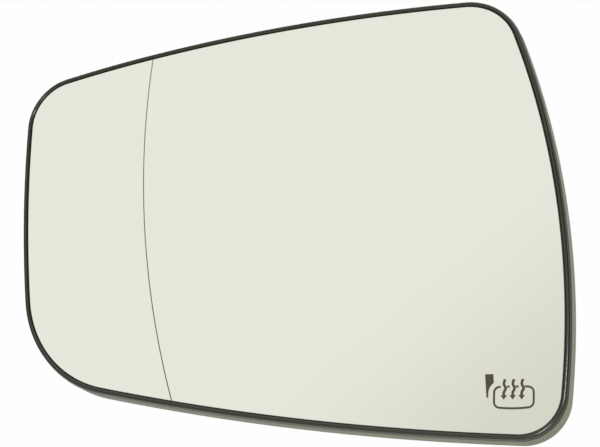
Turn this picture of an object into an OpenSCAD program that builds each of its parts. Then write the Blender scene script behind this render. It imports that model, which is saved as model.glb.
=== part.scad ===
// Heated, convex door mirror glass for the left side of a car, on its clip-in backing plate.
// x runs inboard, z runs up and the mirror faces along -y, as it hangs on the car.
// The origin is the middle of the seat disc on the back, which bears on the actuator.

/* [Glass] */
// Width of the glass
glass_w = 176; // [165:0.5:185]
// Height of the glass
glass_h = 138; // [130:0.5:145]
// Thickness of the glass
glass_t = 2; // [1.6:0.1:3]
// Radius of the convex main zone
main_r = 1260; // [1100:10:1600]
// Radius of the tighter outboard zone, across the dividing line
outer_r = 626; // [450:1:900]
// Distance of the dividing line from the outboard edge, where it comes nearest
line_in = 42.5; // [38:0.5:50]
// Turn of the dividing line, which lifts the point where it comes nearest
line_turn = 6.4; // [0:0.1:8]
// Width of the dividing line
line_w = 0.3; // [0.2:0.05:0.6]
// Thickness of the printed marks
ink_t = 0.08; // [0.05:0.01:0.15]

/* [Outline] */
// Radius of the upper inboard corner
upper_in_r = 16.2; // [10:0.1:20]
// Its centre, measured in from the inboard edge
upper_in_x = 28.9; // [24:0.1:34]
// Radius of the upper outboard corner
upper_out_r = 14.4; // [10:0.1:14.5]
// Its centre, measured in from the outboard edge
upper_out_x = 14.7; // [14.6:0.1:20]
// Its centre, measured down from the top
upper_out_y = 23.6; // [20:0.1:30]
// Radius of the lower outboard corner
lower_out_r = 35.2; // [28:0.1:36]
// Its centre, measured in from the outboard edge
lower_out_x = 36.9; // [36:0.1:42]
// Its centre, measured up from the bottom
lower_out_y = 58.3; // [54:0.1:62]
// Radius of the lower inboard corner
lower_in_r = 12.6; // [10:0.1:14]
// Its centre, measured in from the inboard edge
lower_in_x = 14.8; // [14:0.1:20]
// Bow radius of the top side
top_r = 780; // [500:10:1500]
// Bow radius of the outboard side
outboard_r = 485; // [300:5:900]
// Bow radius of the bottom side
bottom_r = 760; // [500:10:1500]
// Bow radius of the inboard side
inboard_r = 261; // [221:1:500]

/* [Backing plate] */
// Clearance round the glass
edge_gap = 0.25; // [0.15:0.05:0.4]
// Width of the bead round the glass
bead_w = 1.45; // [1:0.05:2]
// How far the bead stands in front of the glass
bead_proud = 0.6; // [0.3:0.05:1]
// Height of the bead's rounded crown
bead_rise = 0.95; // [0.7:0.05:1.2]
// Depth of the bead's flank, behind the face of the glass
flank_d = 1.6; // [1.4:0.1:3]
// How far the flank flares out to its foot
flank_out = 0.25; // [0.1:0.05:0.4]
// Depth of the skirt, behind the face of the glass
skirt_d = 8.2; // [7.6:0.1:12]
// How far the skirt is set in under the bead
skirt_in = 0.12; // [0.05:0.01:0.2]
// Draft of the skirt over its depth
skirt_draft = 0.1; // [0:0.01:0.15]
// Thickness of the floor
floor_t = 1.8; // [1.4:0.1:2.4]
// Thickness of the ribs
rib_t = 1.5; // [1:0.1:2]
// Depth of the ribs behind the floor
rib_d = 2.5; // [1.5:0.1:2.6]
// Number of straight ribs
rib_count = 8; // [4:4:8]
// Radius of the round rib
round_rib_r = 54; // [53.5:0.5:56]

/* [Actuator socket] */
// Height of the seat disc behind the floor
seat_rise = 1.5; // [1:0.1:2]
// Inner radius of the socket wall
socket_r = 29; // [28.5:0.1:30]
// Gap between the seat disc and the socket wall
seat_gap = 3; // [2:0.5:6]
// Thickness of the guide walls
guide_t = 2; // [1.4:0.1:2.4]
// Height of the guide walls behind the seat
guide_h = 5; // [4:0.1:6]
// Thickness of the snap claws
claw_t = 1.7; // [1.4:0.1:2.2]
// How far the hooks reach in from the socket wall
hook_in = 1.4; // [1:0.1:1.8]
// Distance from the seat to the hooks
hook_reach = 4.8; // [4.4:0.1:6]
// Length of the hooks' flat land
hook_land = 1.4; // [1.2:0.1:2]
// Length of the slope on the near side of each hook
hook_back = 0.4; // [0.3:0.05:0.6]
// Length of the lead-in past each hook
hook_lead = 0.8; // [0.5:0.1:1.2]
// Number of claws, with as many guide walls between them
claw_count = 4; // [3:1:4]
// Sweep of each claw and guide wall, in degrees
claw_sweep = 36; // [34:1:40]
// Height of the gap between the walls' continuous root and the seat
root_in = 0.3; // [0.1:0.1:0.6]

/* [Heater] */
// Bond line between each two layers behind the glass
layer_gap = 0.05; // [0.03:0.01:0.08]
// Thickness of the carrier film
film_t = 0.25; // [0.15:0.05:0.4]
// How far the film stops inside the edge of the glass
film_in = 1.5; // [1:0.1:4]
// Thickness of the printed track
track_t = 0.1; // [0.05:0.01:0.15]
// Width of the track
track_w = 1.6; // [1:0.1:2.4]
// Spacing of the track's rows
track_pitch = 8; // [6:0.5:10]
// How far the track's ends stop inside the edge of the glass
track_in = 6; // [4:0.5:9]
// Gap between the two halves of the track
track_gap = 8; // [6:0.5:12]
// Thickness of the foam pad
pad_t = 0.7; // [0.5:0.1:1.2]
// How far the pad stops inside the edge of the glass
pad_in = 1; // [0.5:0.1:3]

/* [Terminals] */
// Distance of each terminal from the middle
terminal_x = 9.5; // [9:0.1:10.5]
// Height of the terminals above the bottom of the glass
terminal_up = 28; // [27:0.1:30]
// Width of the blade
blade_w = 6.3; // [4.8:0.1:6.3]
// Thickness of the terminal
blade_t = 0.8; // [0.5:0.05:0.8]
// Length of the blade behind the foot
blade_l = 9; // [8:0.1:12]
// Radius of the hole in the blade
blade_hole_r = 0.7; // [0.5:0.05:1]
// Distance of that hole from the tip
blade_hole_in = 3; // [2.5:0.1:4]
// Chamfer of the blade's tip
tip_cut = 1.2; // [0.8:0.1:1.6]
// Length of the foot
foot_l = 8; // [7:0.1:9]
// Inner radius of the bend between foot and blade
bend_r = 0.6; // [0.4:0.1:1]
// Distance of the rivet from the free end of the foot
rivet_in = 2.6; // [2.2:0.1:3]
// Radius of the rivet's shank
rivet_r = 1; // [0.8:0.05:1.2]
// Radius of the rivet's head
rivet_head_r = 1.7; // [1.6:0.05:2]
// Thickness of the rivet's head
rivet_head_t = 0.5; // [0.4:0.05:0.8]
// Clearance round each rivet's shank
rivet_gap = 0.05; // [0.02:0.01:0.1]
// Clearance round the terminals in the windows of pad and floor
window_gap = 1; // [0.6:0.1:1.4]

/* [Heater symbol] */
// Middle of the mirror figure, in from the inboard edge of the glass
symbol_in = 16.4; // [15:0.1:24]
// Middle of the mirror figure, up from the bottom of the glass
symbol_up = 11.3; // [11:0.1:20]
// Turn of the symbol
symbol_turn = -2.8; // [-5:0.1:5]
// Width of the mirror figure, between the middles of its strokes
figure_w = 11.9; // [11:0.1:13]
// Height of the mirror figure, between the middles of its strokes
figure_h = 6.3; // [6:0.1:7.4]
// Corner radius of the mirror figure
figure_r = 1.7; // [1.2:0.1:2.2]
// Bow radius of its bottom stroke
figure_bow_r = 40; // [25:1:200]
// Width of the strokes
stroke_w = 0.62; // [0.45:0.01:0.75]
// Width of the arrows' stems
stem_w = 0.8; // [0.5:0.05:0.9]
// How far the middle arrow stands outboard of the middle of the mirror figure
arrow_out = 0.35; // [0:0.05:0.4]
// Spacing of the heat arrows
arrow_pitch = 2.69; // [2.6:0.01:3]
// Height of the heat arrows
arrow_h = 6.2; // [6:0.1:7]
// How far the arrows reach above the mirror figure
arrow_up = 2.3; // [1.8:0.1:2.5]
// Sideways swing of the arrows
arrow_swing = 0.55; // [0.4:0.05:0.8]
// Width of the arrow heads
head_w = 1.95; // [1.4:0.05:2]
// Length of the arrow heads
head_l = 1.35; // [1.2:0.05:1.8]
// Length of the dashes between the arrows
dash_l = 0.8; // [0.7:0.05:1]
// Width of the flag beside the mirror figure
flag_w = 2.5; // [2:0.05:2.6]
// How far the flag reaches above the mirror figure
flag_up = 3.9; // [3:0.1:4.5]
// How far the top of the flag leans out past its gap
flag_lean = 1.05; // [0.8:0.05:1.4]
// Width of the flag's root beside its gap
flag_root = 0.55; // [0.4:0.05:0.8]
// Chamfer under the flag's root
flag_cut = 0.1; // [0.1:0.05:0.4]
// Gap between the flag and the middle of the figure's stroke
flag_gap = 1.75; // [1.4:0.05:2]

/* [Hidden] */
$fn = 256;

// Depths behind the face of the glass, which is at apex_z above the seat in the middle
film_d = glass_t + layer_gap;
track_d = film_d + film_t + layer_gap;
pad_d = track_d + track_t + layer_gap;
floor_d = pad_d + pad_t + layer_gap;
floor_back_d = floor_d + floor_t;
rib_back_d = floor_back_d + rib_d;
apex_z = floor_back_d + seat_rise;

seat_r = socket_r - seat_gap;
hook_r = socket_r - hook_in;
terminal_y = glass_h / 2 - terminal_up;
bead_out = edge_gap + bead_w;
flank_foot = bead_out + flank_out;
skirt_out = flank_foot - skirt_in;

// How deep joined solids reach into each other
bite = 0.5;
// Past everything, for cuts and prisms
past = 20;
// Facets of the wide arcs of the mirror face
arc_fn = 1024;

// The face is turned about an axis through the centre of the main sphere, that leans inboard by tilt.
// Across the dividing line its arc goes on with the smaller radius, from a centre on the same normal.
zone_run = [75, 308];
zone = zone_run / norm(zone_run);
zone_angle = atan2(zone.x, zone.y);
zone_far = ceil((main_r + past) / norm(zone_run)) * zone_run;
outer_c = (main_r - outer_r) * zone;
outer_far = 2 * outer_r * [sin(2 * zone_angle), cos(2 * zone_angle)];
sphere_z = apex_z - main_r;
tilt = zone_angle - asin((glass_w / 2 - line_in) / main_r);
axis_dir = [sin(tilt) * cos(line_turn), sin(tilt) * sin(line_turn), cos(tilt)];
// Angle at the centre of the main sphere from the middle to a corner, and the turn that covers it
reach = asin((norm([glass_w, glass_h]) / 2 + flank_foot + bite) / main_r);
half_turn = asin(sin(reach) / sin(tilt));

// Corners of the glass as [x, y, radius], anticlockwise from the upper inboard one, and the sides after them
pane_corners = [
    [glass_w / 2 - upper_in_x, glass_h / 2 - upper_in_r, upper_in_r],
    [upper_out_x - glass_w / 2, glass_h / 2 - upper_out_y, upper_out_r],
    [lower_out_x - glass_w / 2, lower_out_y - glass_h / 2, lower_out_r],
    [glass_w / 2 - lower_in_x, lower_in_r - glass_h / 2, lower_in_r]];
pane_sides = [top_r, outboard_r, bottom_r, inboard_r];
corner_steps = 10;
side_steps = 12;

// Section of the plate's wall as [distance outside the edge of the glass, depth behind its face]
crown_steps = 6;
wall_section = [
    for (i = [0 : crown_steps]) [edge_gap + bead_w * (1 - cos(180 * i / crown_steps)) / 2,
                                 bead_rise * (1 - sin(180 * i / crown_steps)) - bead_proud],
    [flank_foot, flank_d],
    [skirt_out, flank_d + skirt_in],
    [skirt_out - skirt_draft, skirt_d],
    [edge_gap, skirt_d]];

terminal_places = [[-terminal_x, -terminal_y], [terminal_x, -terminal_y]];
window_size = [blade_w + 2 * window_gap, foot_l + 2 * window_gap];

// Angle of a vector, raised by whole turns until it isn't under from
function angle_past(v, from) = let (a = atan2(v.y, v.x)) a + 360 * ceil((from - a) / 360);

function arc_points(centre, r, from, to, steps) =
    [for (i = [0 : steps - 1])
        let (turn = from + (to - from) * i / steps) centre + r * [cos(turn), sin(turn)]];

// Quarter circle with both its ends, anticlockwise from the x direction
function quarter_points(centre, r, steps) =
    [for (i = [0 : steps]) centre + r * [cos(90 * i / steps), sin(90 * i / steps)]];

function xy(corner) = [corner.x, corner.y];

// Centre of a side's arc, which touches two corner circles from outside them
function side_centre(a, b, r) =
    let (d = norm(xy(b) - xy(a)), p = r - a.z, q = r - b.z, along = (p * p - q * q + d * d) / (2 * d),
         u = (xy(b) - xy(a)) / d)
    xy(a) + u * along + [-u.y, u.x] * sqrt(p * p - along * along);

// Closed outline of four corner arcs and the four bowed sides between them, moved outwards by off
function outline(corners, sides, off, turns, runs) =
    let (n = len(corners),
         c = [for (i = [0 : n - 1]) side_centre(corners[i], corners[(i + 1) % n], sides[i])])
    [for (i = [0 : n - 1])
        let (here = corners[i], next = corners[(i + 1) % n],
             from = angle_past(xy(here) - c[(i + n - 1) % n], -90),
             mid = angle_past(xy(here) - c[i], from),
             to = angle_past(xy(next) - c[i], mid))
        each concat(arc_points(xy(here), here.z + off, from, mid, turns),
                    arc_points(c[i], sides[i] + off, mid, to, runs))];

function pane_outline(off) = outline(pane_corners, pane_sides, off, corner_steps, side_steps);

// Height of the surface that lies depth behind the mirror face, closed in on along its normal
function face_z(x, y, depth, z = apex_z, tries = 4) =
    tries == 0 ? z :
    let (v = [x, y, z - sphere_z], h = v * axis_dir, across = v - h * axis_dir, rho = norm(across),
         outside = rho * zone.y > h * zone.x, q = [rho, h] - outer_c,
         gap = outside ? norm(q) - outer_r : norm(v) - main_r,
         slope = outside ? (q.x * across.z / rho + q.y * axis_dir.z) / norm(q) : v.z / norm(v))
    face_z(x, y, depth, z - (gap + depth) / slope, tries - 1);

// One side of a stroke along a path, with mitred bends
function path_side(path, off) =
    let (last = len(path) - 1,
         runs = [for (i = [1 : last]) let (run = path[i] - path[i - 1]) run / norm(run)])
    [for (i = [0 : last])
        let (a = runs[max(i - 1, 0)], b = runs[min(i, last - 1)], m = [-a.y - b.y, a.x + b.x])
        path[i] + off * m / (1 + a * b)];

function backwards(list) = [for (i = [len(list) - 1 : -1 : 0]) list[i]];

module stroke(path, width)
    polygon(concat(path_side(path, width / 2), backwards(path_side(path, -width / 2))));

// Turns a drawing with its face upwards to look along -y
module facing() rotate([90, 0, 0]) children();

module turned_profile() {
    translate([0, 0, sphere_z]) rotate([0, 0, line_turn]) rotate([0, tilt, 0])
        rotate_extrude(angle = 2 * half_turn, start = 180 - half_turn) children();
}

module ring_sector(r, front, back, side_a, side_b) {
    intersection() {
        difference() {
            circle(r - front, $fn = arc_fn);
            circle(r - back, $fn = arc_fn);
        }
        polygon([[0, 0], side_a, side_b]);
    }
}

// The curved layer between two depths behind the mirror face
module layer(front, back) {
    near = norm(zone_far) * [sin(tilt - reach), cos(tilt - reach)];
    turned_profile() ring_sector(main_r, front, back, near, zone_far);
    turned_profile() translate(outer_c)
        ring_sector(outer_r, front, back, zone_far - outer_c, outer_far);
}

module upright() translate([0, 0, -past]) linear_extrude(2 * past) children();

// A layer cut to the outline of the glass, moved outwards by off
module sheet(front, back, off) {
    intersection() {
        layer(front, back);
        upright() polygon(pane_outline(off));
    }
}

// Puts a drawing square on the surface at a place, at a depth
module on_face(place, depth) {
    up = asin(place.y / main_r);
    translate([0, 0, sphere_z]) rotate([0, asin(place.x / (main_r * cos(up))), 0]) rotate([-up, 0, 0])
        translate([0, 0, main_r - depth]) children();
}

module windows() for (place = terminal_places) translate(place) square(window_size, center = true);

module rivet_holes() {
    for (place = terminal_places) on_face(place, 0)
        translate([0, rivet_in - foot_l / 2, -past]) cylinder(r = rivet_r + rivet_gap, h = 2 * past);
}

// Rounded bead, flank and skirt in one closed band round the glass
module wall() {
    n = len(pane_outline(0));
    m = len(wall_section);
    rings = [for (s = wall_section) pane_outline(s.x)];
    points = [for (i = [0 : n - 1]) for (j = [0 : m - 1])
        let (p = rings[j][i]) [p.x, p.y, face_z(p.x, p.y, wall_section[j].y)]];
    faces = [for (i = [0 : n - 1]) for (j = [0 : m - 1])
        let (here = i * m, next = (i + 1) % n * m, k = (j + 1) % m)
        each [[here + j, next + k, here + k], [here + j, next + j, next + k]]];
    polyhedron(points, faces);
}

module ribs() {
    intersection() {
        sheet(floor_back_d - bite, rib_back_d, edge_gap + bead_w / 3);
        union() {
            for (i = [0 : rib_count - 1])
                upright() rotate(360 * (i + 0.5) / rib_count)
                    translate([socket_r + bite, -rib_t / 2]) square([glass_w, rib_t]);
            upright() difference() {
                circle(round_rib_r + rib_t / 2);
                circle(round_rib_r - rib_t / 2);
            }
        }
    }
}

// Socket with snap claws and guide walls in turn, on one continuous root
module socket() {
    root_z = apex_z - floor_d - bite;
    step = 180 / claw_count;
    rotate_extrude() translate([socket_r, root_in]) square([guide_t, root_z - root_in]);
    for (i = [0 : claw_count - 1]) {
        rotate_extrude(angle = claw_sweep, start = 2 * i * step - claw_sweep / 2) polygon([
            [socket_r, root_z], [socket_r, hook_back - hook_reach], [hook_r, -hook_reach],
            [hook_r, -hook_reach - hook_land], [socket_r - bite, -hook_reach - hook_land - hook_lead],
            [socket_r + claw_t, -hook_reach - hook_land - hook_lead], [socket_r + claw_t, root_z]]);
        rotate_extrude(angle = claw_sweep, start = (2 * i + 1) * step - claw_sweep / 2)
            translate([socket_r, -guide_h]) square([guide_t, guide_h + root_z]);
    }
}

module backing_plate() {
    color("#34332c") facing() difference() {
        union() {
            wall();
            sheet(floor_d, floor_back_d, edge_gap + bead_w / 2);
            ribs();
            cylinder(r = seat_r, h = apex_z - floor_d - bite);
            socket();
        }
        upright() windows();
    }
}

module mirror_glass() color("#e4e4d8") facing() sheet(0, glass_t, 0);

module dividing_line() {
    from = zone_angle - 180 * line_w / (PI * main_r);
    color("#8a887b") facing() intersection() {
        turned_profile() ring_sector(main_r, -ink_t, 0, norm(zone_far) * [sin(from), cos(from)], zone_far);
        upright() polygon(pane_outline(0));
    }
}

// A mirror with a heat arrow in each of three gaps of its top stroke
module mirror_figure() {
    half = [figure_w, figure_h] / 2 - [figure_r, figure_r];
    corners = [[half.x, half.y, figure_r], [-half.x, half.y, figure_r],
               [-half.x, -half.y, figure_r], [half.x, -half.y, figure_r]];
    sides = [glass_w, glass_w, figure_bow_r, glass_w];
    flag_x = -figure_w / 2 - flag_gap;
    flag_top = figure_h / 2 + flag_up;
    upright() difference() {
        polygon(outline(corners, sides, stroke_w / 2, corner_steps / 2, side_steps / 2));
        polygon(outline(corners, sides, -stroke_w / 2, corner_steps / 2, side_steps / 2));
        for (i = [-1 : 1])
            translate([i * arrow_pitch - arrow_out, figure_h / 2])
                square([arrow_pitch - dash_l, 2 * figure_r], center = true);
    }
    for (i = [-1 : 1])
        translate([i * arrow_pitch - arrow_out, figure_h / 2 + arrow_up, 0]) heat_arrow();
    upright() difference() {
        polygon([[flag_x - flag_lean, flag_top], [flag_x - flag_lean + flag_w, flag_top],
                 [-figure_w / 2, figure_h / 4], [-figure_w / 2, -flag_cut],
                 [flag_x - flag_cut, -flag_cut], [flag_x - flag_root, 0]]);
        polygon(outline(corners, sides, flag_gap, corner_steps / 2, side_steps / 2));
    }
}

// Arrow that points down, with a stem that swings from side to side
module heat_arrow() {
    stem_h = arrow_h - head_l;
    swing_h = 2 * stem_h / 7;
    bends = [[arrow_swing / 2, 0], [0, -swing_h], [arrow_swing, -2 * swing_h], [0, -3 * swing_h],
             [0, -stem_h - head_l / 3]];
    steps = side_steps / 2;
    upright() stroke([for (i = [0 : len(bends) - 2]) for (j = [0 : steps - 1])
        let (a = bends[i], b = bends[i + 1], t = j / steps)
        [a.x + (b.x - a.x) * (1 - cos(180 * t)) / 2, a.y + (b.y - a.y) * t]], stem_w);
    upright() translate([0, -arrow_h]) polygon([[0, 0], [head_w / 2, head_l], [-head_w / 2, head_l]]);
}

module heater_symbol() {
    color("#55524a") facing() intersection() {
        layer(-ink_t, 0);
        translate([glass_w / 2 - symbol_in, symbol_up - glass_h / 2, 0]) rotate(symbol_turn) mirror_figure();
    }
}

module heater_film() {
    color("#b9a36a") facing() difference() {
        sheet(film_d, film_d + film_t, -film_in);
        rivet_holes();
    }
}

function row_y(k) = k * track_pitch - terminal_y;

// Where a row at height y ends, on the outboard (side -1) or the inboard side (side 1)
function row_end(side, y) =
    let (p = pane_outline(-track_in), n = len(p),
         ends = [for (i = [0 : n - 1]) let (a = p[i], b = p[(i + 1) % n])
                 if ((a.y - y) * (b.y - y) < 0) a.x + (b.x - a.x) * (y - a.y) / (b.y - a.y)])
    side * max(side * ends);

function row_start(side, k) = side * (k < 0 ? terminal_x : k < 2 ? terminal_x + track_pitch : track_gap / 2);

// Half of the track: from its terminal under the lowest row, then to and fro up to the top row
function half_track(side) =
    let (top = 2 * floor((glass_h / 2 - track_in + terminal_y) / (2 * track_pitch)))
    [[side * terminal_x, row_y(0)],
     for (k = [-1 : top]) let (y = row_y(k), a = [row_start(side, k), y], b = [row_end(side, y), y])
        each (k % 2 == 0 ? [b, a] : [a, b])];

module heater_track() {
    color("#8d8f92") facing() difference() {
        intersection() {
            layer(track_d, track_d + track_t);
            union() {
                upright() stroke(concat(half_track(-1), backwards(half_track(1))), track_w);
                for (place = terminal_places)
                    upright() translate(place) square([blade_w, foot_l], center = true);
            }
        }
        rivet_holes();
    }
}

module foam_pad() {
    color("#3b3b3d") facing() difference() {
        sheet(pad_d, pad_d + pad_t, -pad_in);
        upright() windows();
    }
}

// Bent blade terminal, with its foot on the track and its blade standing out behind
module terminal(place) {
    bend = [foot_l / 2 - blade_t - bend_r, -blade_t - bend_r];
    turns = corner_steps / 2;
    color("#c9c3ae") facing() on_face(place, pad_d) difference() {
        translate([-blade_w / 2, 0, 0]) rotate([90, 0, 90]) linear_extrude(blade_w) polygon(concat(
            [[-foot_l / 2, -blade_t], [-foot_l / 2, 0]],
            backwards(quarter_points(bend, bend_r + blade_t, turns)),
            [[foot_l / 2, -blade_l], [foot_l / 2 - blade_t, -blade_l]],
            quarter_points(bend, bend_r, turns)));
        for (side = [-1, 1])
            rotate([90, 0, 0]) translate([side * blade_w / 2, -blade_l, 0]) rotate(45)
                cube([tip_cut * sqrt(2), tip_cut * sqrt(2), 2 * past], center = true);
        translate([0, 0, blade_hole_in - blade_l]) rotate([90, 0, 0])
            cylinder(r = blade_hole_r, h = 2 * past, center = true);
        translate([0, rivet_in - foot_l / 2, 0])
            cylinder(r = rivet_r + rivet_gap, h = 2 * past, center = true);
    }
}

module terminal_outboard() terminal(terminal_places[0]);

module terminal_inboard() terminal(terminal_places[1]);

// Two rivets, each with its head on a foot and its shank down to the back of the glass
module terminal_rivets() {
    color("#a9a18a") facing() for (place = terminal_places)
        on_face(place, pad_d) translate([0, rivet_in - foot_l / 2, -blade_t]) {
            translate([0, 0, -rivet_head_t]) cylinder(r = rivet_head_r, h = rivet_head_t);
            cylinder(r = rivet_r, h = blade_t + pad_d - film_d);
        }
}

backing_plate();
mirror_glass();
dividing_line();
heater_symbol();
heater_film();
heater_track();
foam_pad();
terminal_outboard();
terminal_inboard();
terminal_rivets();
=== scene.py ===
"""Looks of a heated, convex door mirror glass with its clip-in backing plate.

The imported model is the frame: x runs inboard, z runs up and the mirror faces along -y.
The pane, the plate's wall and the rivets are worked out afresh as smooth surfaces, and the
other pieces are the model's own.
"""

import math

import bpy
import numpy as np
from bpy.props import FloatProperty, FloatVectorProperty, IntProperty, PointerProperty
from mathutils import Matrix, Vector


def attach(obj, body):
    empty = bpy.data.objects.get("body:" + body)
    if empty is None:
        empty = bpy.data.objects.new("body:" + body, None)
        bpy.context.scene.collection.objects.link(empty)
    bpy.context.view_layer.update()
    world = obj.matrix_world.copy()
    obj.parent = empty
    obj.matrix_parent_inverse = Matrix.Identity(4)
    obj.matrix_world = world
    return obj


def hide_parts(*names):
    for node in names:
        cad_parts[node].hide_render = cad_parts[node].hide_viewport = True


bl_info = {
    "name": "Door mirror glass",
    "version": (1, 0, 0),
    "blender": (4, 5, 0),
    "location": "3D View > Sidebar > Mirror glass",
    "description": "Builds a heated door mirror glass with its backing plate",
    "category": "Object",
}

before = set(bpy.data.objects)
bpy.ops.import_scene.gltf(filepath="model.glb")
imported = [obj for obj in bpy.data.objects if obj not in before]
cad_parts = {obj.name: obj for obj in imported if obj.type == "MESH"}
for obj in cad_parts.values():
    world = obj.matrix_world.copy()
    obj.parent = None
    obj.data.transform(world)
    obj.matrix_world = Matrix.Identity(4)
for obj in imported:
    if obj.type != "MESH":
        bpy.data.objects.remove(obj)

MM = 0.001
# The arc of the face turns from its main radius to the tighter one at this angle from its axis
ZONE_ANGLE = math.atan2(75, 308)


def linear(hex_colour):
    """Linear colour of an sRGB hex value, by the curve that sRGB is defined with."""
    parts = [int(hex_colour[i : i + 2], 16) / 255 for i in (0, 2, 4)]
    return tuple(p / 12.92 if p <= 0.04045 else ((p + 0.055) / 1.055) ** 2.4 for p in parts)


class MirrorGlassShape(bpy.types.PropertyGroup):
    """Sizes of the glass and of its two zones"""

    width: FloatProperty(
        name="Width",
        description="Width of the glass",
        default=176 * MM,
        unit="LENGTH",
    )
    height: FloatProperty(
        name="Height",
        description="Height of the glass",
        default=138 * MM,
        unit="LENGTH",
    )
    thickness: FloatProperty(
        name="Thickness",
        description="Thickness of the glass",
        default=2 * MM,
        unit="LENGTH",
    )
    apex: FloatProperty(
        name="Apex",
        description="Distance of the face in front of the seat, in the middle",
        default=6.55 * MM,
        unit="LENGTH",
    )
    main_radius: FloatProperty(
        name="Main radius",
        description="Radius of the convex main zone",
        default=1260 * MM,
        unit="LENGTH",
    )
    outer_radius: FloatProperty(
        name="Outer radius",
        description="Radius of the tighter outboard zone",
        default=626 * MM,
        unit="LENGTH",
    )
    line_in: FloatProperty(
        name="Line distance",
        description="Distance of the dividing line from the outboard edge",
        default=42.5 * MM,
        unit="LENGTH",
    )
    line_turn: FloatProperty(
        name="Line turn",
        description="Turn of the dividing line",
        default=math.radians(6.4),
        subtype="ANGLE",
    )
    upper_inboard: FloatVectorProperty(
        name="Upper inboard corner",
        description="Radius of the corner, then its centre in from the edge and down",
        default=(16.2 * MM, 28.9 * MM, 16.2 * MM),
        unit="LENGTH",
    )
    upper_outboard: FloatVectorProperty(
        name="Upper outboard corner",
        description="Radius of the corner, then its centre in from the edge and down",
        default=(14.4 * MM, 14.7 * MM, 23.6 * MM),
        unit="LENGTH",
    )
    lower_outboard: FloatVectorProperty(
        name="Lower outboard corner",
        description="Radius of the corner, then its centre in from the edge and up",
        default=(35.2 * MM, 36.9 * MM, 58.3 * MM),
        unit="LENGTH",
    )
    lower_inboard: FloatVectorProperty(
        name="Lower inboard corner",
        description="Radius of the corner, then its centre in from the edge and up",
        default=(12.6 * MM, 14.8 * MM, 12.6 * MM),
        unit="LENGTH",
    )
    bows: FloatVectorProperty(
        name="Bows of the sides",
        description="Bow radii of the top, outboard, bottom and inboard sides",
        size=4,
        default=(780 * MM, 485 * MM, 760 * MM, 261 * MM),
        unit="LENGTH",
    )
    ground: FloatProperty(
        name="Ground edge",
        description="Radius ground on the edges of the glass",
        default=0.1 * MM,
        unit="LENGTH",
    )
    corner_steps: IntProperty(
        name="Corner steps",
        description="Steps round each corner",
        default=40,
        min=8,
    )
    side_steps: IntProperty(
        name="Side steps",
        description="Steps along each side",
        default=48,
        min=8,
    )


class MirrorPlateShape(bpy.types.PropertyGroup):
    """Sizes of the wall of the backing plate"""

    gap: FloatProperty(
        name="Gap",
        description="Clearance round the glass",
        default=0.25 * MM,
        unit="LENGTH",
    )
    bead: FloatProperty(
        name="Bead",
        description="Width of the bead round the glass",
        default=1.45 * MM,
        unit="LENGTH",
    )
    proud: FloatProperty(
        name="Proud",
        description="How far the bead stands in front of the glass",
        default=0.6 * MM,
        unit="LENGTH",
    )
    rise: FloatProperty(
        name="Crown",
        description="Height of the bead's rounded crown",
        default=0.95 * MM,
        unit="LENGTH",
    )
    flank: FloatProperty(
        name="Flank",
        description="Depth of the bead's flank behind the face of the glass",
        default=1.6 * MM,
        unit="LENGTH",
    )
    flare: FloatProperty(
        name="Flare",
        description="How far the flank flares out to its foot",
        default=0.25 * MM,
        unit="LENGTH",
    )
    skirt: FloatProperty(
        name="Skirt",
        description="Depth of the skirt behind the face of the glass",
        default=8.2 * MM,
        unit="LENGTH",
    )
    step: FloatProperty(
        name="Step",
        description="How far the skirt is set in under the bead",
        default=0.12 * MM,
        unit="LENGTH",
    )
    draft: FloatProperty(
        name="Draft",
        description="Draft of the skirt over its depth",
        default=0.1 * MM,
        unit="LENGTH",
    )
    floor: FloatProperty(
        name="Floor",
        description="Depth of the front of the floor behind the face of the glass",
        default=3.25 * MM,
        unit="LENGTH",
    )
    lap: FloatProperty(
        name="Lap",
        description="How far the wall laps over the ends of the floor and the ribs",
        default=0.12 * MM,
        unit="LENGTH",
    )
    edge_round: FloatProperty(
        name="Edge round",
        description="Radius on the skirt's moulded edges",
        default=0.2 * MM,
        unit="LENGTH",
    )
    # Besides the grain, this share passes part of the skirt's painted sheen, its paler colour, to the
    # floor, ribs and socket
    back_grain_and_sheen: FloatProperty(
        name="Grain of the back",
        description="Share of the skirt's pale grain that the floor, ribs and socket have",
        default=0.15,
        min=0,
        max=1,
    )
    crown_steps: IntProperty(
        name="Crown steps",
        description="Steps over the crown of the bead",
        default=20,
        min=6,
    )


class MirrorRivetShape(bpy.types.PropertyGroup):
    """Sizes and places of the two rivets"""

    across: FloatProperty(
        name="Distance",
        description="Distance of each rivet from the middle",
        default=9.5 * MM,
        unit="LENGTH",
    )
    down: FloatProperty(
        name="Below the middle",
        description="Distance of the terminals below the middle",
        default=41 * MM,
        unit="LENGTH",
    )
    along: FloatProperty(
        name="Along the foot",
        description="Distance of each rivet below the middle of its terminal's foot",
        default=1.4 * MM,
        unit="LENGTH",
    )
    foot: FloatProperty(
        name="Depth of the foot",
        description="Depth of the back of the foot behind the face of the glass",
        default=3.3 * MM,
        unit="LENGTH",
    )
    shank: FloatProperty(
        name="Shank",
        description="Length of the shank in front of the head",
        default=1.25 * MM,
        unit="LENGTH",
    )
    shank_radius: FloatProperty(
        name="Shank radius",
        description="Radius of the shank",
        default=1 * MM,
        unit="LENGTH",
    )
    head_radius: FloatProperty(
        name="Head radius",
        description="Radius of the head",
        default=1.7 * MM,
        unit="LENGTH",
    )
    head: FloatProperty(
        name="Head",
        description="Thickness of the head",
        default=0.5 * MM,
        unit="LENGTH",
    )


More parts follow.
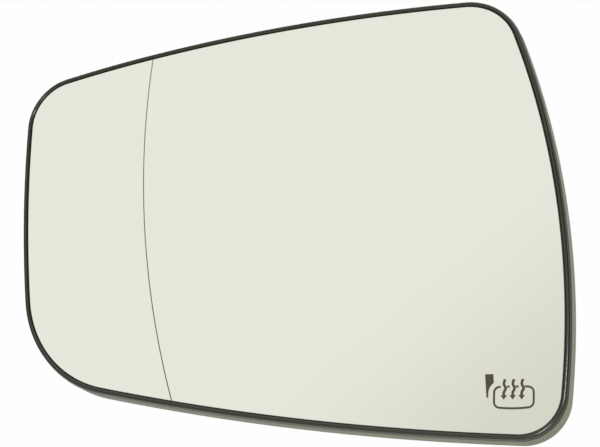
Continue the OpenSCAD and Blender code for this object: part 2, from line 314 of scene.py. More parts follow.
class MirrorColours(bpy.types.PropertyGroup):
    """Colours of the finishes"""

    silver: FloatVectorProperty(
        name="Silvering",
        description="Colour that the mirror gives back",
        subtype="COLOR",
        default=linear("E8E8E5"),
    )
    edge: FloatVectorProperty(
        name="Ground edge",
        description="Colour of the ground edge of the glass",
        subtype="COLOR",
        default=linear("87948C"),
    )
    bead: FloatVectorProperty(
        name="Bead",
        description="Colour of the plate's bead",
        subtype="COLOR",
        default=linear("24221A"),
    )
    # The skirt's pale olive is painted sheen: the black plastic drawn pale where it would catch light
    # at a flat angle
    skirt: FloatVectorProperty(
        name="Skirt",
        description="Colour of the plate's skirt and back",
        subtype="COLOR",
        default=linear("6E6F5C"),
    )
    line: FloatVectorProperty(
        name="Dividing line",
        description="Colour of the dividing line",
        subtype="COLOR",
        default=linear("4E4B40"),
    )
    symbol: FloatVectorProperty(
        name="Heater symbol",
        description="Colour of the heater symbol",
        subtype="COLOR",
        default=linear("322D22"),
    )
    film: FloatVectorProperty(
        name="Film",
        description="Colour of the heater's carrier film",
        subtype="COLOR",
        default=linear("A9762A"),
    )
    foam: FloatVectorProperty(
        name="Foam",
        description="Colour of the foam pad",
        subtype="COLOR",
        default=linear("3B3B3D"),
    )
    foil: FloatVectorProperty(
        name="Foil",
        description="Colour of the heater's foil track",
        subtype="COLOR",
        default=linear("D3D4D6"),
    )
    tin: FloatVectorProperty(
        name="Tin",
        description="Colour of the tinned terminals",
        subtype="COLOR",
        default=linear("DDDAD2"),
    )
    brass: FloatVectorProperty(
        name="Brass",
        description="Colour of the rivets",
        subtype="COLOR",
        default=linear("D9BE7C"),
    )
    floor: FloatVectorProperty(
        name="Stage floor",
        description="Colour of the floor under the mirror",
        subtype="COLOR",
        default=linear("E4E4E0"),
    )


class MirrorStage(bpy.types.PropertyGroup):
    """Camera, floor and light"""

    yaw: FloatProperty(
        name="Yaw",
        description="Turn of the camera to the inboard side of the mirror",
        default=math.radians(18),
        subtype="ANGLE",
    )
    pitch: FloatProperty(
        name="Pitch",
        description="Rise of the camera, below zero under the mirror",
        default=math.radians(-18),
        subtype="ANGLE",
    )
    distance: FloatProperty(
        name="Distance",
        description="Distance from the camera to its target",
        default=800 * MM,
        unit="LENGTH",
    )
    lens: FloatProperty(
        name="Lens",
        description="Focal length of the camera in millimetres",
        default=154.7,
    )
    target: FloatVectorProperty(
        name="Target",
        description="Point that the camera looks at",
        default=(5.94 * MM, -6.51 * MM, 2.04 * MM),
        subtype="TRANSLATION",
        unit="LENGTH",
    )
    floor_drop: FloatProperty(
        name="Floor drop",
        description="Distance of the floor under the middle of the mirror",
        default=300 * MM,
        unit="LENGTH",
    )


def corner_circles(shape):
    """Centres and radii of the four corner circles, from the upper inboard one anticlockwise.

    Each centre lies in from the glass's own box by the two distances of its corner.
    """
    corners = np.array(
        [shape.upper_inboard, shape.upper_outboard, shape.lower_outboard, shape.lower_inboard]
    )
    signs = np.array([[1, 1], [-1, 1], [-1, -1], [1, -1]])
    half = np.array([shape.width, shape.height]) / 2
    return signs * (half - corners[:, 1:]), corners[:, 0]


def side_centres(centres, radii, bows):
    """Centre of each side's arc, which touches two corner circles from outside them.

    It lies as far from each corner's centre as the bow radius less the corner's radius, so it is
    where two circles cross, on the inner side of the side.
    """
    ahead = np.roll(centres, -1, axis=0) - centres
    length = np.linalg.norm(ahead, axis=1)
    here = bows - radii
    there = bows - np.roll(radii, -1)
    along = (here**2 - there**2 + length**2) / (2 * length)
    run = ahead / length[:, None]
    across = np.stack([-run[:, 1], run[:, 0]], axis=1)
    return centres + run * along[:, None] + across * np.sqrt(here**2 - along**2)[:, None]


def angle_past(vector, start):
    """Angle of a vector, raised by whole turns until it isn't under start."""
    angle = math.atan2(vector[1], vector[0])
    return angle + math.tau * math.ceil((start - angle) / math.tau)


def outline(shape, outward):
    """Points and outward directions of the glass's outline, moved outwards.

    Four corner arcs and the four bowed sides between them follow each other anticlockwise. A point
    is its arc's centre plus the arc's radius and the move, times the direction from that centre.
    """
    centres, radii = corner_circles(shape)
    bows = np.array(shape.bows)
    sides = side_centres(centres, radii, bows)
    points, directions = [], []
    for i in range(4):
        start = angle_past(centres[i] - sides[i - 1], -math.pi / 2)
        middle = angle_past(centres[i] - sides[i], start)
        end = angle_past(centres[(i + 1) % 4] - sides[i], middle)
        for centre, radius, a, b, steps in (
            (centres[i], radii[i], start, middle, shape.corner_steps),
            (sides[i], bows[i], middle, end, shape.side_steps),
        ):
            turn = np.linspace(a, b, steps, endpoint=False)
            direction = np.stack([np.cos(turn), np.sin(turn)], axis=1)
            points.append(centre + (radius + outward) * direction)
            directions.append(direction)
    return np.concatenate(points), np.concatenate(directions)


def face_height(shape, x, y, depth):
    """Height above the seat of the surface that lies a depth behind the mirror's face.

    The face is an arc turned about an axis through the centre of the main sphere. Inside the zone
    angle the gap to it is the distance from that centre less the main radius. Outside it is the
    distance, in the plane of axis and point, from the smaller arc's centre less its radius. The
    height is stepped down by the gap and the depth over the surface's slope until both cancel.
    """
    zone = np.array([math.sin(ZONE_ANGLE), math.cos(ZONE_ANGLE)])
    outer = (shape.main_radius - shape.outer_radius) * zone
    tilt = ZONE_ANGLE - math.asin((shape.width / 2 - shape.line_in) / shape.main_radius)
    axis = np.array(
        [
            math.sin(tilt) * math.cos(shape.line_turn),
            math.sin(tilt) * math.sin(shape.line_turn),
            math.cos(tilt),
        ]
    )
    centre = shape.apex - shape.main_radius
    height = np.full(np.shape(x), shape.apex)
    for _ in range(4):
        v = np.stack([x, y, height - centre], axis=-1)
        along = v @ axis
        across = v - along[..., None] * axis
        rho = np.maximum(np.linalg.norm(across, axis=-1), 1e-9)
        q = np.stack([rho, along], axis=-1) - outer
        q_length = np.linalg.norm(q, axis=-1)
        v_length = np.linalg.norm(v, axis=-1)
        outside = rho * zone[1] > along * zone[0]
        gap = np.where(outside, q_length - shape.outer_radius, v_length - shape.main_radius)
        outer_slope = (q[..., 0] * across[..., 2] / rho + q[..., 1] * axis[2]) / q_length
        slope = np.where(outside, outer_slope, v[..., 2] / v_length)
        height = height - (gap + depth) / slope
    return height


def in_frame(x, y, height):
    """Points of the frame for a drawing whose face looks upwards: height turns into -y."""
    return np.stack([x, -height, y], axis=-1)


def section_rings(shape, section):
    """Rings round the glass, one for each pair of a section: outward distance and depth."""
    rings = []
    for outward, depth in section:
        points, _ = outline(shape, outward)
        height = face_height(shape, points[:, 0], points[:, 1], depth)
        rings.append(in_frame(points[:, 0], points[:, 1], height))
    return np.array(rings)


def quads_between(rows, columns, closed_rows):
    """Corner numbers of the four-sided faces of a grid whose columns close on themselves.

    Face (i, j) joins vertex (i, j) to its neighbours at j + 1 and i + 1, modulo the grid's size.
    """
    i = np.arange(rows if closed_rows else rows - 1)[:, None]
    j = np.arange(columns)[None, :]
    near, far = i * columns, (i + 1) % rows * columns
    ahead = (j + 1) % columns
    return np.stack([near + j, near + ahead, far + ahead, far + j], axis=-1).reshape(-1, 4)


def make_mesh(name, points, faces, sharp=math.radians(40)):
    """A new object with the given points and faces, smooth but for edges over the sharp angle."""
    mesh = bpy.data.meshes.new(name)
    mesh.from_pydata(points.tolist(), [], faces)
    mesh.polygons.foreach_set("use_smooth", np.ones(len(mesh.polygons), dtype=bool))
    mesh.set_sharp_from_angle(angle=sharp)
    mesh.update()
    piece = bpy.data.objects.new(name, mesh)
    bpy.context.scene.collection.objects.link(piece)
    return piece


def finish_piece(piece, materials):
    """Puts materials on a piece and lets it ride on the one body."""
    for material in materials:
        piece.data.materials.append(material)
    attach(piece, "root")


def add_node(tree, kind, values=None, links=None, **settings):
    """Adds a shader node with its settings, its inputs' values and links from other sockets."""
    node = tree.nodes.new(kind)
    for name, setting in settings.items():
        setattr(node, name, setting)
    for name, value in (values or {}).items():
        node.inputs[name].default_value = value
    for name, socket in (links or {}).items():
        tree.links.new(socket, node.inputs[name])
    return node


def new_material(name):
    """An empty material, its node tree, its Principled shader and the piece's own coordinates."""
    material = bpy.data.materials.new(name)
    material.use_nodes = True
    tree = material.node_tree
    tree.nodes.clear()
    shader = add_node(tree, "ShaderNodeBsdfPrincipled")
    add_node(tree, "ShaderNodeOutputMaterial", links={"Surface": shader.outputs["BSDF"]})
    place = add_node(tree, "ShaderNodeTexCoord").outputs["Object"]
    return material, tree, shader, place


def per_mm(size):
    """Texture scale for features of a size in millimetres, on coordinates in metres."""
    return 1 / (size * MM)


def grain(tree, place, size, detail=2.0):
    """Noise whose features have a size in millimetres, as a socket from 0 to 1."""
    noise = add_node(
        tree,
        "ShaderNodeTexNoise",
        values={"Scale": per_mm(size), "Detail": detail, "Roughness": 0.55},
        links={"Vector": place},
    )
    return noise.outputs["Fac"]


def ramp(tree, factor, low, high, start=0.0, end=1.0, curve="LINEAR"):
    """Maps a factor from one range of values to another, held at the ends."""
    node = add_node(
        tree,
        "ShaderNodeMapRange",
        interpolation_type=curve,
        values={"From Min": start, "From Max": end, "To Min": low, "To Max": high},
        links={"Value": factor},
    )
    return node.outputs["Result"]


def shade(tree, colour, factor, darkest, lightest):
    """A colour times a brightness that follows a factor."""
    bright = ramp(tree, factor, darkest, lightest)
    node = add_node(
        tree,
        "ShaderNodeMix",
        data_type="RGBA",
        blend_type="MULTIPLY",
        values={"Factor": 1.0, "A": (*colour, 1)},
        links={"B": bright},
    )
    return node.outputs["Result"]


def silvered_glass(colours):
    """Silvered float glass, bent and coated on its back.

    The silver gives back nearly all light with a faint yellow-green cast from the glass, and the
    polish is even, with only a breath of haze in wide soft patches.
    """
    material, tree, shader, place = new_material("silvered_float_glass")
    haze = grain(tree, place, 45)
    tree.links.new(shade(tree, colours.silver, haze, 0.99, 1.0), shader.inputs["Base Color"])
    tree.links.new(ramp(tree, haze, 0.012, 0.02), shader.inputs["Roughness"])
    shader.inputs["Metallic"].default_value = 1.0
    return material


def ground_edge(colours):
    """Edge of the glass, ground with a fine wheel: dull, pale grey-green and a little uneven."""
    material, tree, shader, place = new_material("ground_glass_edge")
    marks = grain(tree, place, 0.4)
    tree.links.new(shade(tree, colours.edge, marks, 0.8, 1.1), shader.inputs["Base Color"])
    shader.inputs["Roughness"].default_value = 0.6
    shader.inputs["IOR"].default_value = 1.52
    return material


def moulded_plate(colours):
    """Black ABS, moulded: a smooth bead, and a skirt and back with a fine spark-eroded grain.

    The bead is deep black with a soft sheen. The skirt's paler olive colour is painted sheen,
    black plastic drawn as lit at a flat angle; its grain adds only roughness and bumps. The grain is
    drawn at 0.35 mm, coarser than real.
    """
    material, tree, shader, place = new_material("moulded_black_abs")
    # The grain attribute marks both the skirt's grain and where its painted sheen lies
    grain_and_sheen = add_node(tree, "ShaderNodeAttribute", attribute_name="grain").outputs["Fac"]
    patches = grain(tree, place, 18)
    texture = grain(tree, place, 0.35)
    # The skirt's paler colour mixed in here is painted sheen, not a colour of the plastic
    base = add_node(
        tree,
        "ShaderNodeMix",
        data_type="RGBA",
        links={
            "Factor": grain_and_sheen,
            "A": shade(tree, colours.bead, patches, 0.92, 1.08),
            "B": shade(tree, colours.skirt, patches, 0.94, 1.06),
        },
    )
    tree.links.new(base.outputs["Result"], shader.inputs["Base Color"])
    tree.links.new(ramp(tree, grain_and_sheen, 0.2, 0.42), shader.inputs["Roughness"])
    shader.inputs["IOR"].default_value = 1.54
    softened = add_node(tree, "ShaderNodeBevel", samples=4, values={"Radius": 0.08 * MM})
    bump = add_node(
        tree,
        "ShaderNodeBump",
        values={"Distance": 0.02 * MM},
        links={
            "Height": texture,
            "Strength": ramp(tree, grain_and_sheen, 0.0, 0.35),
            "Normal": softened.outputs["Normal"],
        },
    )
    tree.links.new(bump.outputs["Normal"], shader.inputs["Normal"])
    return material


def printed_line(colours):
    """Fired ceramic ink of the dividing line: matt, and thinner and paler towards its top."""
    material, tree, shader, place = new_material("fired_line_ink")
    up = add_node(tree, "ShaderNodeSeparateXYZ", links={"Vector": place}).outputs["Z"]
    thin = ramp(tree, up, 0.0, 1.0, start=-60 * MM, end=60 * MM)
    tree.links.new(shade(tree, colours.line, thin, 0.8, 3.2), shader.inputs["Base Color"])
    shader.inputs["Roughness"].default_value = 0.7
    return material


def printed_symbol(colours):
    """Fired ceramic ink of the heater symbol: matt and dark, with the speckle of the screen."""
    material, tree, shader, place = new_material("fired_symbol_ink")
    speckle = grain(tree, place, 0.3)
    tree.links.new(shade(tree, colours.symbol, speckle, 0.85, 1.15), shader.inputs["Base Color"])
    shader.inputs["Roughness"].default_value = 0.65
    return material


def carrier_film(colours):
    """Cast polyimide film: amber, clear and glossy, with faint ripples from its lamination."""
    material, tree, shader, place = new_material("polyimide_film")
    ripple = grain(tree, place, 6)
    tree.links.new(shade(tree, colours.film, ripple, 0.9, 1.1), shader.inputs["Base Color"])
    shader.inputs["Roughness"].default_value = 0.2
    shader.inputs["IOR"].default_value = 1.7
    bump = add_node(
        tree,
        "ShaderNodeBump",
        values={"Distance": 0.05 * MM, "Strength": 0.3},
        links={"Height": ripple},
    )
    tree.links.new(bump.outputs["Normal"], shader.inputs["Normal"])
    return material


def stretched(tree, place, size, along):
    """Noise drawn out into streaks: features of a size across, and a longer one along z."""
    scaled = add_node(
        tree,
        "ShaderNodeMapping",
        values={"Scale": (1, 1, size / along)},
        links={"Vector": place},
    )
    return grain(tree, scaled.outputs["Vector"], size)


def etched_foil(colours):
    """Rolled aluminium foil, etched into a track: bright, with fine rolling streaks."""
    material, tree, shader, place = new_material("etched_aluminium_foil")
    streaks = stretched(tree, place, 0.15, 6)
    tree.links.new(shade(tree, colours.foil, streaks, 0.92, 1.0), shader.inputs["Base Color"])
    tree.links.new(ramp(tree, streaks, 0.25, 0.4), shader.inputs["Roughness"])
    shader.inputs["Metallic"].default_value = 1.0
    return material


def foam(colours):
    """Closed-cell polyethylene foam: dark grey and matt, with cells of about half a millimetre."""
    material, tree, shader, place = new_material("closed_cell_foam")
    cells = add_node(
        tree,
        "ShaderNodeTexVoronoi",
        values={"Scale": per_mm(0.5)},
        links={"Vector": place},
    ).outputs["Distance"]
    tree.links.new(shade(tree, colours.foam, cells, 1.15, 0.8), shader.inputs["Base Color"])
    shader.inputs["Roughness"].default_value = 0.9
    bump = add_node(
        tree,
        "ShaderNodeBump",
        values={"Distance": 0.1 * MM, "Strength": 0.6},
        links={"Height": cells},
    )
    tree.links.new(bump.outputs["Normal"], shader.inputs["Normal"])
    return material


def tinned_brass(colours):
    """Stamped brass strip with a tin coat: pale grey, softly bright, with streaks of the roll."""
    material, tree, shader, place = new_material("tinned_brass_strip")
    streaks = stretched(tree, place, 0.12, 8)
    cloud = grain(tree, place, 3)
    tree.links.new(shade(tree, colours.tin, cloud, 0.9, 1.0), shader.inputs["Base Color"])
    tree.links.new(ramp(tree, streaks, 0.22, 0.36), shader.inputs["Roughness"])
    shader.inputs["Metallic"].default_value = 1.0
    softened = add_node(tree, "ShaderNodeBevel", samples=4, values={"Radius": 0.12 * MM})
    tree.links.new(softened.outputs["Normal"], shader.inputs["Normal"])
    return material


def turned_brass(colours):
    """Headed brass rivet: warm yellow and bright, dulled a little where the punch pressed it."""
    material, tree, shader, place = new_material("headed_brass")
    dull = grain(tree, place, 0.6)
    tree.links.new(shade(tree, colours.brass, dull, 0.88, 1.0), shader.inputs["Base Color"])
    tree.links.new(ramp(tree, dull, 0.18, 0.34), shader.inputs["Roughness"])
    shader.inputs["Metallic"].default_value = 1.0
    return material


def pane_section(shape, steps=6):
    """Section of the glass's edge, from its face round to its back, as outward and depth pairs.

    Two quarter circles of the ground radius join the face, the edge and the back.
    """
    turn = np.linspace(0, math.pi / 2, steps)
    r = shape.ground
    front = np.stack([r * (np.sin(turn) - 1), r * (1 - np.cos(turn))], axis=1)
    back = np.stack([front[::-1, 0], shape.thickness - front[::-1, 1]], axis=1)
    return np.concatenate([front, back])


def disc_rings(shape, depth, shares):
    """Rings of the face inside its edge: the outline drawn in towards the middle by each share."""
    points, _ = outline(shape, 0)
    grid = shares[:, None, None] * points[None, :, :]
    return in_frame(grid[..., 0], grid[..., 1], face_height(shape, grid[..., 0], grid[..., 1], depth))


class MIRROR_OT_pane(bpy.types.Operator):
    """Builds the silvered pane as one smooth closed surface"""

    bl_idname = "mirror_glass.pane"
    bl_label = "Pane"

    def execute(self, context):
        scene = context.scene
        shape = scene.mirror_glass_shape
        face_shares = np.linspace(0, 1, 40)[1:-1]
        back_shares = np.linspace(1, 0, 12)[1:-1]
        section = pane_section(shape)
        rings = np.concatenate(
            [
                disc_rings(shape, 0, face_shares),
                section_rings(shape, section),
                disc_rings(shape, shape.thickness, back_shares),
            ]
        )
        rows, columns = rings.shape[:2]
        middle = np.zeros(2)
        depths = np.array([0, shape.thickness])
        poles = in_frame(middle, middle, face_height(shape, middle, middle, depths))
        points = np.concatenate([rings.reshape(-1, 3), poles])
        quads = quads_between(rows, columns, closed_rows=False)
        column = np.arange(columns)
        ahead = (column + 1) % columns
        first = rows * columns
        last = (rows - 1) * columns
        front_cap = np.stack([np.full(columns, first), ahead, column], axis=1)
        back_cap = np.stack([np.full(columns, first + 1), last + column, last + ahead], axis=1)
        faces = quads[:, ::-1].tolist() + front_cap[:, ::-1].tolist() + back_cap[:, ::-1].tolist()
        # The facets of the ground edge stay sharp, so they don't bend the face's shading
        piece = make_mesh("pane", points, faces, sharp=math.radians(8))
        finish_piece(
            piece,
            [silvered_glass(scene.mirror_colours), ground_edge(scene.mirror_colours)],
        )
        # The faces between two rings of the edge's section are ground
        row = np.repeat(np.arange(rows - 1), columns)
        start = len(face_shares)
        ground = (row >= start) & (row < start + len(section) - 1)
        index = np.concatenate([ground, np.zeros(2 * columns, dtype=bool)]).astype(np.int32)
        piece.data.polygons.foreach_set("material_index", index)
        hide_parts("mirror_glass")
        return {"FINISHED"}


def wall_section(plate):
    """Section of the plate's wall as outward distances, depths and shares of grain and painted sheen,
    round in one loop.

    The crown is half an ellipse, the bead's width across and its rise deep. Below it run the
    flared flank, a step in, the skirt with its draft and its rounded edge, and the inner face
    back up.
    """
    turn = np.linspace(0, math.pi, plate.crown_steps + 1)
    out = plate.gap + plate.bead
    crown = np.stack(
        [
            plate.gap + plate.bead * (1 - np.cos(turn)) / 2,
            plate.rise * (1 - np.sin(turn)) - plate.proud,
        ],
        axis=1,
    )
    flank_foot = out + plate.flare
    skirt_top = flank_foot - plate.step
    skirt_foot = skirt_top - plate.draft
    bend = np.linspace(0, math.pi / 2, 6)
    r = plate.edge_round
    foot = np.stack(
        [skirt_foot - r + r * np.cos(bend), plate.skirt - r + r * np.sin(bend)],
        axis=1,
    )
    inner = plate.gap - plate.lap
    inner_foot = np.stack(
        [inner + r - r * np.sin(bend), plate.skirt - r + r * np.cos(bend)],
        axis=1,
    )
    flank = [[flank_foot - 0.1 * plate.flare, plate.flank - r], [flank_foot, plate.flank]]
    bead = np.concatenate([crown, flank])
    skirt = np.array(
        [
            [skirt_top + plate.step / 3, plate.flank + plate.step / 2],
            [skirt_top, plate.flank + plate.step],
            [skirt_top - 0.1 * plate.draft, plate.flank + plate.step + r],
        ]
    )
    inside = np.array(
        [
            [inner, plate.floor],
            [inner, plate.floor - plate.lap / 2],
            [plate.gap, plate.floor - plate.lap],
        ]
    )
    section = np.concatenate([bead, skirt, foot, inner_foot, inside])
    # The skirt takes the full share of grain and painted sheen, the bead none and the back a part
    grain_and_sheen = np.concatenate(
        [
            np.zeros(len(bead)),
            np.ones(len(skirt) + len(foot)),
            np.full(len(inner_foot) + len(inside), plate.back_grain_and_sheen),
        ]
    )
    return section, grain_and_sheen


def away_from_glass(shape, x, y):
    """Signed distance of points outside the outline of the glass, along its nearest direction."""
    points, directions = outline(shape, 0)
    offset = np.stack([x, y], axis=1)[:, None, :] - points[None, :, :]
    nearest = np.argmin((offset**2).sum(axis=2), axis=1)
    row = np.arange(len(x))
    return (offset[row, nearest] * directions[nearest]).sum(axis=1)


def moulding_inside_wall(shape, plate):
    """Points and triangles of the model's plate without its wall, with doubles merged.

    A triangle belongs to the wall if its middle lies outside the glass by over the lap.
    """
    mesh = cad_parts["backing_plate"].data
    mesh.calc_loop_triangles()
    points = np.zeros(len(mesh.vertices) * 3)
    mesh.vertices.foreach_get("co", points)
    points = points.reshape(-1, 3)
    corners = np.zeros(len(mesh.loop_triangles) * 3, dtype=np.int32)
    mesh.loop_triangles.foreach_get("vertices", corners)
    corners = corners.reshape(-1, 3)
    micron = np.round(points / (MM / 1000)).astype(np.int64)
    _, first, place = np.unique(micron, axis=0, return_index=True, return_inverse=True)
    points, corners = points[first], place.reshape(-1)[corners]
    a, b, c = corners.T
    corners = corners[(a != b) & (b != c) & (c != a)]
    middle = points[corners].mean(axis=1)
    kept = corners[away_from_glass(shape, middle[:, 0], middle[:, 2]) < plate.lap]
    used, renumbered = np.unique(kept, return_inverse=True)
    return points[used], renumbered.reshape(-1, 3)


class MIRROR_OT_plate(bpy.types.Operator):
    """Builds the backing plate: a smooth wall round the model's own floor, ribs and socket"""

    bl_idname = "mirror_glass.plate"
    bl_label = "Backing plate"

    def execute(self, context):
        scene = context.scene
        shape = scene.mirror_glass_shape
        plate = scene.mirror_plate_shape
        section, grain_and_sheen = wall_section(plate)
        rings = section_rings(shape, section)
        rows, columns = rings.shape[:2]
        wall_faces = quads_between(rows, columns, closed_rows=True)[:, ::-1]
        inner_points, inner_faces = moulding_inside_wall(shape, plate)
        points = np.concatenate([rings.reshape(-1, 3), inner_points])
        faces = wall_faces.tolist() + (inner_faces + rows * columns).tolist()
        piece = make_mesh("plate", points, faces, sharp=math.radians(30))
        # The grain attribute carries the skirt's painted sheen, its paler colour, as well as its
        # grain
        attribute = piece.data.attributes.new("grain", "FLOAT", "POINT")
        back = np.full(len(inner_points), plate.back_grain_and_sheen)
        values = np.concatenate([np.repeat(grain_and_sheen, columns), back])
        attribute.data.foreach_set("value", values.astype(np.float32))
        finish_piece(piece, [moulded_plate(scene.mirror_colours)])
        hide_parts("backing_plate")
        return {"FINISHED"}


def dress_node(name, material):
    """Gives one of the model's own pieces its material, in place of any it came with."""
    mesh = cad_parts[name].data
    mesh.materials.clear()
    mesh.materials.append(material)


class MIRROR_OT_marks(bpy.types.Operator):
    """Inks the dividing line and the heater symbol"""

    bl_idname = "mirror_glass.marks"
    bl_label = "Printed marks"

    def execute(self, context):
        colours = context.scene.mirror_colours
        dress_node("dividing_line", printed_line(colours))
        dress_node("heater_symbol", printed_symbol(colours))
        return {"FINISHED"}


class MIRROR_OT_heater(bpy.types.Operator):
    """Finishes the heater's film and track and the foam pad behind them"""

    bl_idname = "mirror_glass.heater"
    bl_label = "Heater and pad"

    def execute(self, context):
        colours = context.scene.mirror_colours
        dress_node("heater_film", carrier_film(colours))
        dress_node("heater_track", etched_foil(colours))
        dress_node("foam_pad", foam(colours))
        return {"FINISHED"}


class MIRROR_OT_terminals(bpy.types.Operator):
    """Finishes the two blade terminals"""

    bl_idname = "mirror_glass.terminals"
    bl_label = "Terminals"

    def execute(self, context):
        material = tinned_brass(context.scene.mirror_colours)
        dress_node("terminal_outboard", material)
        dress_node("terminal_inboard", material)
        return {"FINISHED"}


def rivet_profile(rivet):
    """Profile of a rivet as radius and height over the back of the foot, from head to shank.

    The head is a quarter ellipse, its radius across and its thickness high, on a rounded rim.
    """
    turn = np.linspace(0, math.pi / 2, 12)[1:]
    dome = np.stack([rivet.head_radius * np.sin(turn), -rivet.head * np.cos(turn)], axis=1)
    shank = np.array(
        [
            [rivet.head_radius * 0.98, 0.02 * rivet.head],
            [rivet.shank_radius, 0.02 * rivet.head],
            [rivet.shank_radius, rivet.shank],
        ]
    )
    return np.concatenate([dome, shank])


def on_face(shape, points, x, y, depth):
    """Points drawn square on the mirror's face, put on it at a place and depth.

    They are raised by the main radius less the depth, turned about x and then about y by the
    angles of the place, and lowered by the distance of the sphere's centre under the seat.
    """
    up = math.asin(y / shape.main_radius)
    side = math.asin(x / (shape.main_radius * math.cos(up)))
    raised = points + np.array([0, 0, shape.main_radius - depth])
    px, py, pz = raised.T
    py, pz = (
        py * math.cos(up) + pz * math.sin(up),
        pz * math.cos(up) - py * math.sin(up),
    )
    px, pz = (
        px * math.cos(side) + pz * math.sin(side),
        pz * math.cos(side) - px * math.sin(side),
    )
    return in_frame(px, py, pz + shape.apex - shape.main_radius)


class MIRROR_OT_rivets(bpy.types.Operator):
    """Turns the two rivets that hold the terminals, with domed heads"""

    bl_idname = "mirror_glass.rivets"
    bl_label = "Rivets"

    def execute(self, context):
        scene = context.scene
        shape = scene.mirror_glass_shape
        rivet = scene.mirror_rivet_shape
        profile = rivet_profile(rivet)
        columns = 40
        turn = np.linspace(0, math.tau, columns, endpoint=False)
        rings = np.stack(
            [
                profile[:, 0, None] * np.cos(turn),
                profile[:, 0, None] * np.sin(turn),
                np.repeat(profile[:, 1, None], columns, axis=1),
            ],
            axis=-1,
        )
        rows = len(profile)
        poles = np.array([[0, 0, -rivet.head], [0, 0, rivet.shank]])
        one = np.concatenate([rings.reshape(-1, 3), poles]) + [0, -rivet.along, 0]
        column = np.arange(columns)
        ahead = (column + 1) % columns
        last = (rows - 1) * columns
        top = np.full(columns, rows * columns)
        faces = quads_between(rows, columns, closed_rows=False).tolist()
        faces += np.stack([top, ahead, column], axis=1).tolist()
        faces += np.stack([top + 1, last + column, last + ahead], axis=1).tolist()
        placed = [
            on_face(shape, one, side * rivet.across, -rivet.down, rivet.foot) for side in (-1, 1)
        ]
        both = faces + [[corner + len(one) for corner in face] for face in faces]
        piece = make_mesh("rivets", np.concatenate(placed), both)
        finish_piece(piece, [turned_brass(scene.mirror_colours)])
        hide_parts("terminal_rivets")
        return {"FINISHED"}


def brighter(tree, one, other):
    """The greater of two values."""
    node = add_node(tree, "ShaderNodeMath", operation="MAXIMUM", links={0: one, 1: other})
    return node.outputs["Value"]


def studio_world(scene):
    """A studio with a white card before the mirror, a white ceiling and backdrop, and dim sides.

    The pane shows the card, and the plate's skirt shines with the backdrop, while the sides leave
    the flanks of the bead dark. The card is a shade darker low down and to the inboard side.
    """
    world = bpy.data.worlds.new("white_studio")
    scene.world = world
    world.use_nodes = True
    tree = world.node_tree
    tree.nodes.clear()
    path = add_node(tree, "ShaderNodeLightPath")
    direction = add_node(tree, "ShaderNodeTexCoord").outputs["Generated"]
    split = add_node(tree, "ShaderNodeSeparateXYZ", links={"Vector": direction})
    card = ramp(tree, split.outputs["Y"], 0.0, 1.0, start=-0.48, end=-0.66, curve="SMOOTHSTEP")
    backdrop = ramp(tree, split.outputs["Y"], 0.0, 1.0, start=0.81, end=0.91, curve="SMOOTHSTEP")
    ceiling = ramp(tree, split.outputs["Z"], 0.0, 1.0, start=0.5, end=0.75, curve="SMOOTHSTEP")
    white = brighter(tree, brighter(tree, card, backdrop), ceiling)
    bright_side = add_node(
        tree,
        "ShaderNodeVectorMath",
        operation="DOT_PRODUCT",
        values={1: (-0.6, 0, 0.8)},
        links={0: direction},
    )
    upper = ramp(
        tree, bright_side.outputs["Value"], 0.0, 1.0, start=0.14, end=0.33, curve="SMOOTHSTEP"
    )
    tone = add_node(
        tree,
        "ShaderNodeMix",
        data_type="RGBA",
        values={"A": (*linear("EAEBDE"), 1), "B": (*linear("FEFEF5"), 1)},
        links={"Factor": upper},
    )
    room = add_node(
        tree,
        "ShaderNodeMix",
        data_type="RGBA",
        values={"A": (0.15, 0.15, 0.14, 1)},
        links={"Factor": white, "B": tone.outputs["Result"]},
    )
    fill = add_node(
        tree,
        "ShaderNodeMix",
        data_type="RGBA",
        values={"A": (0.55, 0.55, 0.5, 1)},
        links={"Factor": path.outputs["Is Glossy Ray"], "B": room.outputs["Result"]},
    )
    seen = brighter(tree, path.outputs["Is Camera Ray"], path.outputs["Is Transmission Ray"])
    shown = add_node(
        tree,
        "ShaderNodeMix",
        data_type="RGBA",
        values={"B": (*linear("FEFEFE"), 1)},
        links={"Factor": seen, "A": fill.outputs["Result"]},
    )
    background = add_node(
        tree,
        "ShaderNodeBackground",
        links={"Color": shown.outputs["Result"]},
    )
    add_node(tree, "ShaderNodeOutputWorld", links={"Surface": background.outputs["Background"]})


def soft_light(scene, name, place, aim, size, power):
    """A square soft light of a size and power at a place, turned to its aim."""
    data = bpy.data.lights.new(name, "AREA")
    data.shape = "SQUARE"
    data.size = size
    data.energy = power
    light = bpy.data.objects.new(name, data)
    light.location = place
    light.rotation_mode = "QUATERNION"
    light.rotation_quaternion = (Vector(aim) - Vector(place)).to_track_quat("-Z", "Y")
    scene.collection.objects.link(light)


def painted_floor(colours):
    """Matt painted board: pale and even, with a roller's faint texture of 4 mm."""
    material, tree, shader, place = new_material("matt_painted_board")
    roller = grain(tree, place, 4)
    tree.links.new(shade(tree, colours.floor, roller, 0.985, 1.0), shader.inputs["Base Color"])
    shader.inputs["Roughness"].default_value = 0.9
    return material


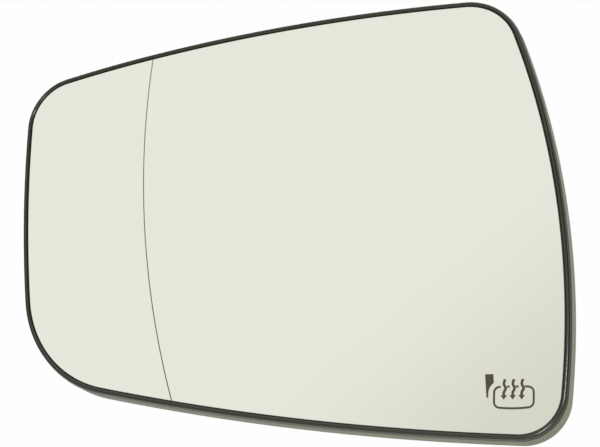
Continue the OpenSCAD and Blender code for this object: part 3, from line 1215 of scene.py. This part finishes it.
class MIRROR_OT_stage(bpy.types.Operator):
    """Sets the floor, the lamps, the studio round them and the camera"""

    bl_idname = "mirror_glass.stage"
    bl_label = "Stage"

    def execute(self, context):
        scene = context.scene
        stage = scene.mirror_stage
        # The floor is a round board of 3 m radius
        radius = 3
        columns = 96
        turn = np.linspace(0, math.tau, columns, endpoint=False)
        ring = np.stack([np.cos(turn), np.sin(turn), np.zeros(columns)], axis=1) * radius
        points = np.concatenate([ring, [[0, 0, 0]]]) - [0, 0, stage.floor_drop]
        column = np.arange(columns)
        hub = np.full(columns, columns)
        faces = np.stack([hub, column, (column + 1) % columns], axis=1).tolist()
        floor = make_mesh("floor", points, faces)
        floor.data.materials.append(painted_floor(scene.mirror_colours))

        middle = Vector(stage.target)
        # The key and the side lamp draw the streaks on the bead's rounded corners
        soft_light(scene, "key", (0.43, -0.415, -0.035), middle, 0.1, 1.5)
        soft_light(scene, "side", (0.166, -0.293, -0.215), middle, 0.07, 0.6)
        soft_light(scene, "back", (-0.5, 1.1, 0.7), middle, 0.7, 7)
        studio_world(scene)

        back = Vector(
            (
                math.sin(stage.yaw) * math.cos(stage.pitch),
                -math.cos(stage.yaw) * math.cos(stage.pitch),
                math.sin(stage.pitch),
            )
        )
        data = bpy.data.cameras.new("camera")
        data.lens = stage.lens
        data.clip_start = 10 * MM
        data.clip_end = 20
        camera = bpy.data.objects.new("camera", data)
        camera.location = middle + stage.distance * back
        camera.rotation_mode = "QUATERNION"
        camera.rotation_quaternion = (-back).to_track_quat("-Z", "Y")
        scene.collection.objects.link(camera)
        scene.camera = camera
        scene.view_settings.view_transform = "Standard"
        return {"FINISHED"}


class MIRROR_PT_panel(bpy.types.Panel):
    """Lists the steps that build the mirror"""

    bl_idname = "MIRROR_PT_panel"
    bl_label = "Mirror glass"
    bl_space_type = "VIEW_3D"
    bl_region_type = "UI"
    bl_category = "Mirror glass"

    def draw(self, context):
        for step in STEPS:
            self.layout.operator(step.bl_idname)


GROUPS = {
    "mirror_glass_shape": MirrorGlassShape,
    "mirror_plate_shape": MirrorPlateShape,
    "mirror_rivet_shape": MirrorRivetShape,
    "mirror_colours": MirrorColours,
    "mirror_stage": MirrorStage,
}
STEPS = (
    MIRROR_OT_pane,
    MIRROR_OT_plate,
    MIRROR_OT_marks,
    MIRROR_OT_heater,
    MIRROR_OT_terminals,
    MIRROR_OT_rivets,
    MIRROR_OT_stage,
)


def register():
    for name, group in GROUPS.items():
        bpy.utils.register_class(group)
        setattr(bpy.types.Scene, name, PointerProperty(type=group))
    for step in (*STEPS, MIRROR_PT_panel):
        bpy.utils.register_class(step)


def unregister():
    for step in (MIRROR_PT_panel, *reversed(STEPS)):
        bpy.utils.unregister_class(step)
    for name, group in reversed(GROUPS.items()):
        delattr(bpy.types.Scene, name)
        bpy.utils.unregister_class(group)


def main():
    """Builds every piece and the stage in order."""
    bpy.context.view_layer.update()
    register()
    bpy.ops.mirror_glass.pane()
    bpy.ops.mirror_glass.plate()
    bpy.ops.mirror_glass.marks()
    bpy.ops.mirror_glass.heater()
    bpy.ops.mirror_glass.terminals()
    bpy.ops.mirror_glass.rivets()
    bpy.ops.mirror_glass.stage()


if __name__ == "__main__":
    main()
